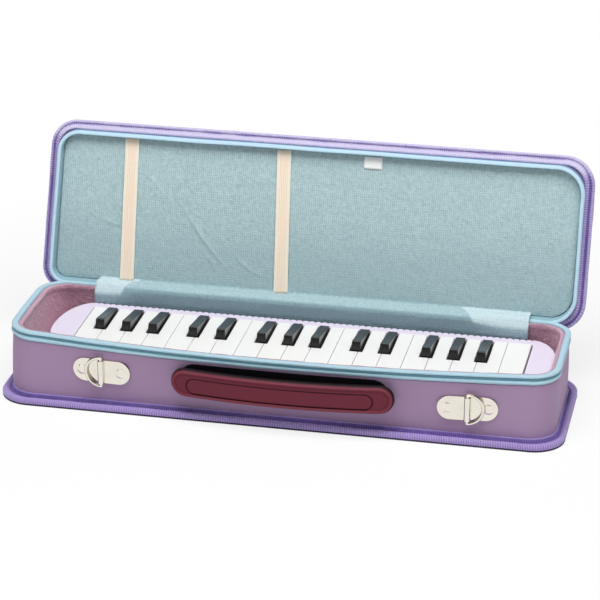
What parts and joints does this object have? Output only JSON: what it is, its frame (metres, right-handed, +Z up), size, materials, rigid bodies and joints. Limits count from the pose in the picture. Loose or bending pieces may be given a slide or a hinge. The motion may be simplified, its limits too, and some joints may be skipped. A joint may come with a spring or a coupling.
{
  "type": "melodica",
  "caption": "Piano-key wind instrument with a fluted rear rail, lying in its open zipped carry case with a hinged lid, carry handle and strap rings.",
  "frame": {"origin": "centre of the case's underside, on the surface it rests on", "axes": "+X along the keyboard towards the treble end, +Y to the back, towards the lid hinge, +Z up"},
  "size_m": [0.4602, 0.2033, 0.1819],
  "materials": {
    "wall_cover": "light purple grained cover",
    "woven_binding": "woven, stitched",
    "fleece": "brushed fleece",
    "zip_tape": "woven tape with a coil",
    "hinge_fabric": "knit",
    "lid_knit": "brushed knit",
    "elastic": "ribbed elastic",
    "grip": "moulded, satin",
    "nickel": "polished nickel",
    "lavender": "moulded, satin gloss",
    "white_key": "glossy",
    "black_key": "glossy",
    "inner_plastic": "moulded",
    "brass": "rolled",
    "steel": "drawn"
  },
  "bodies": {
    "tray": {"tray_shell": "wall_cover", "tray_lining": "fleece", "tray_binding": "woven_binding", "tray_zip_tape": "zip_tape", "hinge_flap": "hinge_fabric", "hinge_gusset": "wall_cover", "handle_studs": "nickel", "anchor_plates": "nickel", "zip_slider": "nickel"},
    "lid": {"lid_panel": "wall_cover", "lid_lining": "lid_knit", "lid_binding": "woven_binding", "lid_zip_tape": "zip_tape", "elastic_bands": "elastic"},
    "handle": {"handle_grip": "grip"},
    "d_ring_left": {"d_ring_left": "nickel"},
    "d_ring_right": {"d_ring_right": "nickel"},
    "zip_pull": {"zip_pull": "nickel"},
    "melodica": {"bottom_cover": "lavender", "top_cover": "lavender", "cover_screws": "steel", "wind_chamber": "inner_plastic", "valve_board": "inner_plastic", "reed_plate": "brass", "mouthpiece_socket": "inner_plastic", "key_pivot_rod": "steel", "return_springs": "steel"},
    "drain_button": {"drain_button": "lavender"},
    "white_key_f3": {"white_key_f3": "white_key"},
    "black_key_f3_sharp": {"black_key_f3_sharp": "black_key"},
    "white_key_g3": {"white_key_g3": "white_key"},
    "black_key_g3_sharp": {"black_key_g3_sharp": "black_key"},
    "white_key_a3": {"white_key_a3": "white_key"},
    "black_key_a3_sharp": {"black_key_a3_sharp": "black_key"},
    "white_key_b3": {"white_key_b3": "white_key"},
    "white_key_c4": {"white_key_c4": "white_key"},
    "black_key_c4_sharp": {"black_key_c4_sharp": "black_key"},
    "white_key_d4": {"white_key_d4": "white_key"},
    "black_key_d4_sharp": {"black_key_d4_sharp": "black_key"},
    "white_key_e4": {"white_key_e4": "white_key"},
    "white_key_f4": {"white_key_f4": "white_key"},
    "black_key_f4_sharp": {"black_key_f4_sharp": "black_key"},
    "white_key_g4": {"white_key_g4": "white_key"},
    "black_key_g4_sharp": {"black_key_g4_sharp": "black_key"},
    "white_key_a4": {"white_key_a4": "white_key"},
    "black_key_a4_sharp": {"black_key_a4_sharp": "black_key"},
    "white_key_b4": {"white_key_b4": "white_key"},
    "white_key_c5": {"white_key_c5": "white_key"},
    "black_key_c5_sharp": {"black_key_c5_sharp": "black_key"},
    "white_key_d5": {"white_key_d5": "white_key"},
    "black_key_d5_sharp": {"black_key_d5_sharp": "black_key"},
    "white_key_e5": {"white_key_e5": "white_key"},
    "white_key_f5": {"white_key_f5": "white_key"},
    "black_key_f5_sharp": {"black_key_f5_sharp": "black_key"},
    "white_key_g5": {"white_key_g5": "white_key"},
    "black_key_g5_sharp": {"black_key_g5_sharp": "black_key"},
    "white_key_a5": {"white_key_a5": "white_key"},
    "black_key_a5_sharp": {"black_key_a5_sharp": "black_key"},
    "white_key_b5": {"white_key_b5": "white_key"},
    "white_key_c6": {"white_key_c6": "white_key"}
  },
  "joints": [
    {"name": "lid_hinge", "type": "hinge", "parent": "tray", "child": "lid", "pos_m": [0.0012, 0.0595, 0.0583], "axis": [-1, 0, 0], "range_deg": [-110.5, 0], "deforming": ["hinge_flap", "hinge_gusset"]},
    {"name": "melodica_lift", "type": "slide", "parent": "tray", "child": "melodica", "axis": [0, 0, 1], "range_m": [0, 0.12]},
    {"name": "handle_pull", "type": "slide", "parent": "tray", "child": "handle", "axis": [0, -1, 0], "range_m": [0, 0.0024]},
    {"name": "d_ring_left_swing", "type": "hinge", "parent": "tray", "child": "d_ring_left", "pos_m": [-0.14199, -0.06319, 0.0329], "axis": [-0.0015, -0.0276, 0.9996], "range_deg": [0, 155]},
    {"name": "d_ring_right_swing", "type": "hinge", "parent": "tray", "child": "d_ring_right", "pos_m": [0.15417, -0.0625, 0.0292], "axis": [0, 0.0003, -1], "range_deg": [0, 155]},
    {"name": "zip_pull_swing", "type": "hinge", "parent": "tray", "child": "zip_pull", "pos_m": [-0.192, 0.06245, 0.0415], "axis": [1, 0, 0], "range_deg": [0, 90]},
    {"name": "drain_button_press", "type": "slide", "parent": "melodica", "child": "drain_button", "axis": [-1, 0, 0], "range_m": [0, 0.0025], "stiffness_N_per_m": 400, "springref_m": -0.003, "deforming": ["return_springs"]},
    {"name": "white_f3_press", "type": "hinge", "parent": "melodica", "child": "white_key_f3", "pos_m": [0.0084, 0.018, 0.03375], "axis": [1, 0, 0], "range_deg": [0, 4.5], "stiffness_Nm_per_rad": 0.2, "springref_deg": -6.88, "deforming": ["return_springs"]},
    {"name": "black_f3_sharp_press", "type": "hinge", "parent": "melodica", "child": "black_key_f3_sharp", "pos_m": [0.0084, 0.018, 0.03375], "axis": [1, 0, 0], "range_deg": [0, 4.5], "stiffness_Nm_per_rad": 0.2, "springref_deg": -6.88, "deforming": ["return_springs"]},
    {"name": "white_g3_press", "type": "hinge", "parent": "melodica", "child": "white_key_g3", "pos_m": [0.0084, 0.018, 0.03375], "axis": [1, 0, 0], "range_deg": [0, 4.5], "stiffness_Nm_per_rad": 0.2, "springref_deg": -6.88, "deforming": ["return_springs"]},
    {"name": "black_g3_sharp_press", "type": "hinge", "parent": "melodica", "child": "black_key_g3_sharp", "pos_m": [0.0084, 0.018, 0.03375], "axis": [1, 0, 0], "range_deg": [0, 4.5], "stiffness_Nm_per_rad": 0.2, "springref_deg": -6.88, "deforming": ["return_springs"]},
    {"name": "white_a3_press", "type": "hinge", "parent": "melodica", "child": "white_key_a3", "pos_m": [0.0084, 0.018, 0.03375], "axis": [1, 0, 0], "range_deg": [0, 4.5], "stiffness_Nm_per_rad": 0.2, "springref_deg": -6.88, "deforming": ["return_springs"]},
    {"name": "black_a3_sharp_press", "type": "hinge", "parent": "melodica", "child": "black_key_a3_sharp", "pos_m": [0.0084, 0.018, 0.03375], "axis": [1, 0, 0], "range_deg": [0, 4.5], "stiffness_Nm_per_rad": 0.2, "springref_deg": -6.88, "deforming": ["return_springs"]},
    {"name": "white_b3_press", "type": "hinge", "parent": "melodica", "child": "white_key_b3", "pos_m": [0.0084, 0.018, 0.03375], "axis": [1, 0, 0], "range_deg": [0, 4.5], "stiffness_Nm_per_rad": 0.2, "springref_deg": -6.88, "deforming": ["return_springs"]},
    {"name": "white_c4_press", "type": "hinge", "parent": "melodica", "child": "white_key_c4", "pos_m": [0.0084, 0.018, 0.03375], "axis": [1, 0, 0], "range_deg": [0, 4.5], "stiffness_Nm_per_rad": 0.2, "springref_deg": -6.88, "deforming": ["return_springs"]},
    {"name": "black_c4_sharp_press", "type": "hinge", "parent": "melodica", "child": "black_key_c4_sharp", "pos_m": [0.0084, 0.018, 0.03375], "axis": [1, 0, 0], "range_deg": [0, 4.5], "stiffness_Nm_per_rad": 0.2, "springref_deg": -6.88, "deforming": ["return_springs"]},
    {"name": "white_d4_press", "type": "hinge", "parent": "melodica", "child": "white_key_d4", "pos_m": [0.0084, 0.018, 0.03375], "axis": [1, 0, 0], "range_deg": [0, 4.5], "stiffness_Nm_per_rad": 0.2, "springref_deg": -6.88, "deforming": ["return_springs"]},
    {"name": "black_d4_sharp_press", "type": "hinge", "parent": "melodica", "child": "black_key_d4_sharp", "pos_m": [0.0084, 0.018, 0.03375], "axis": [1, 0, 0], "range_deg": [0, 4.5], "stiffness_Nm_per_rad": 0.2, "springref_deg": -6.88, "deforming": ["return_springs"]},
    {"name": "white_e4_press", "type": "hinge", "parent": "melodica", "child": "white_key_e4", "pos_m": [0.0084, 0.018, 0.03375], "axis": [1, 0, 0], "range_deg": [0, 4.5], "stiffness_Nm_per_rad": 0.2, "springref_deg": -6.88, "deforming": ["return_springs"]},
    {"name": "white_f4_press", "type": "hinge", "parent": "melodica", "child": "white_key_f4", "pos_m": [0.0084, 0.018, 0.03375], "axis": [1, 0, 0], "range_deg": [0, 4.5], "stiffness_Nm_per_rad": 0.2, "springref_deg": -6.88, "deforming": ["return_springs"]},
    {"name": "black_f4_sharp_press", "type": "hinge", "parent": "melodica", "child": "black_key_f4_sharp", "pos_m": [0.0084, 0.018, 0.03375], "axis": [1, 0, 0], "range_deg": [0, 4.5], "stiffness_Nm_per_rad": 0.2, "springref_deg": -6.88, "deforming": ["return_springs"]},
    {"name": "white_g4_press", "type": "hinge", "parent": "melodica", "child": "white_key_g4", "pos_m": [0.0084, 0.018, 0.03375], "axis": [1, 0, 0], "range_deg": [0, 4.5], "stiffness_Nm_per_rad": 0.2, "springref_deg": -6.88, "deforming": ["return_springs"]},
    {"name": "black_g4_sharp_press", "type": "hinge", "parent": "melodica", "child": "black_key_g4_sharp", "pos_m": [0.0084, 0.018, 0.03375], "axis": [1, 0, 0], "range_deg": [0, 4.5], "stiffness_Nm_per_rad": 0.2, "springref_deg": -6.88, "deforming": ["return_springs"]},
    {"name": "white_a4_press", "type": "hinge", "parent": "melodica", "child": "white_key_a4", "pos_m": [0.0084, 0.018, 0.03375], "axis": [1, 0, 0], "range_deg": [0, 4.5], "stiffness_Nm_per_rad": 0.2, "springref_deg": -6.88, "deforming": ["return_springs"]},
    {"name": "black_a4_sharp_press", "type": "hinge", "parent": "melodica", "child": "black_key_a4_sharp", "pos_m": [0.0084, 0.018, 0.03375], "axis": [1, 0, 0], "range_deg": [0, 4.5], "stiffness_Nm_per_rad": 0.2, "springref_deg": -6.88, "deforming": ["return_springs"]},
    {"name": "white_b4_press", "type": "hinge", "parent": "melodica", "child": "white_key_b4", "pos_m": [0.0084, 0.018, 0.03375], "axis": [1, 0, 0], "range_deg": [0, 4.5], "stiffness_Nm_per_rad": 0.2, "springref_deg": -6.88, "deforming": ["return_springs"]},
    {"name": "white_c5_press", "type": "hinge", "parent": "melodica", "child": "white_key_c5", "pos_m": [0.0084, 0.018, 0.03375], "axis": [1, 0, 0], "range_deg": [0, 4.5], "stiffness_Nm_per_rad": 0.2, "springref_deg": -6.88, "deforming": ["return_springs"]},
    {"name": "black_c5_sharp_press", "type": "hinge", "parent": "melodica", "child": "black_key_c5_sharp", "pos_m": [0.0084, 0.018, 0.03375], "axis": [1, 0, 0], "range_deg": [0, 4.5], "stiffness_Nm_per_rad": 0.2, "springref_deg": -6.88, "deforming": ["return_springs"]},
    {"name": "white_d5_press", "type": "hinge", "parent": "melodica", "child": "white_key_d5", "pos_m": [0.0084, 0.018, 0.03375], "axis": [1, 0, 0], "range_deg": [0, 4.5], "stiffness_Nm_per_rad": 0.2, "springref_deg": -6.88, "deforming": ["return_springs"]},
    {"name": "black_d5_sharp_press", "type": "hinge", "parent": "melodica", "child": "black_key_d5_sharp", "pos_m": [0.0084, 0.018, 0.03375], "axis": [1, 0, 0], "range_deg": [0, 4.5], "stiffness_Nm_per_rad": 0.2, "springref_deg": -6.88, "deforming": ["return_springs"]},
    {"name": "white_e5_press", "type": "hinge", "parent": "melodica", "child": "white_key_e5", "pos_m": [0.0084, 0.018, 0.03375], "axis": [1, 0, 0], "range_deg": [0, 4.5], "stiffness_Nm_per_rad": 0.2, "springref_deg": -6.88, "deforming": ["return_springs"]},
    {"name": "white_f5_press", "type": "hinge", "parent": "melodica", "child": "white_key_f5", "pos_m": [0.0084, 0.018, 0.03375], "axis": [1, 0, 0], "range_deg": [0, 4.5], "stiffness_Nm_per_rad": 0.2, "springref_deg": -6.88, "deforming": ["return_springs"]},
    {"name": "black_f5_sharp_press", "type": "hinge", "parent": "melodica", "child": "black_key_f5_sharp", "pos_m": [0.0084, 0.018, 0.03375], "axis": [1, 0, 0], "range_deg": [0, 4.5], "stiffness_Nm_per_rad": 0.2, "springref_deg": -6.88, "deforming": ["return_springs"]},
    {"name": "white_g5_press", "type": "hinge", "parent": "melodica", "child": "white_key_g5", "pos_m": [0.0084, 0.018, 0.03375], "axis": [1, 0, 0], "range_deg": [0, 4.5], "stiffness_Nm_per_rad": 0.2, "springref_deg": -6.88, "deforming": ["return_springs"]},
    {"name": "black_g5_sharp_press", "type": "hinge", "parent": "melodica", "child": "black_key_g5_sharp", "pos_m": [0.0084, 0.018, 0.03375], "axis": [1, 0, 0], "range_deg": [0, 4.5], "stiffness_Nm_per_rad": 0.2, "springref_deg": -6.88, "deforming": ["return_springs"]},
    {"name": "white_a5_press", "type": "hinge", "parent": "melodica", "child": "white_key_a5", "pos_m": [0.0084, 0.018, 0.03375], "axis": [1, 0, 0], "range_deg": [0, 4.5], "stiffness_Nm_per_rad": 0.2, "springref_deg": -6.88, "deforming": ["return_springs"]},
    {"name": "black_a5_sharp_press", "type": "hinge", "parent": "melodica", "child": "black_key_a5_sharp", "pos_m": [0.0084, 0.018, 0.03375], "axis": [1, 0, 0], "range_deg": [0, 4.5], "stiffness_Nm_per_rad": 0.2, "springref_deg": -6.88, "deforming": ["return_springs"]},
    {"name": "white_b5_press", "type": "hinge", "parent": "melodica", "child": "white_key_b5", "pos_m": [0.0084, 0.018, 0.03375], "axis": [1, 0, 0], "range_deg": [0, 4.5], "stiffness_Nm_per_rad": 0.2, "springref_deg": -6.88, "deforming": ["return_springs"]},
    {"name": "white_c6_press", "type": "hinge", "parent": "melodica", "child": "white_key_c6", "pos_m": [0.0084, 0.018, 0.03375], "axis": [1, 0, 0], "range_deg": [0, 4.5], "stiffness_Nm_per_rad": 0.2, "springref_deg": -6.88, "deforming": ["return_springs"]}
  ]
}
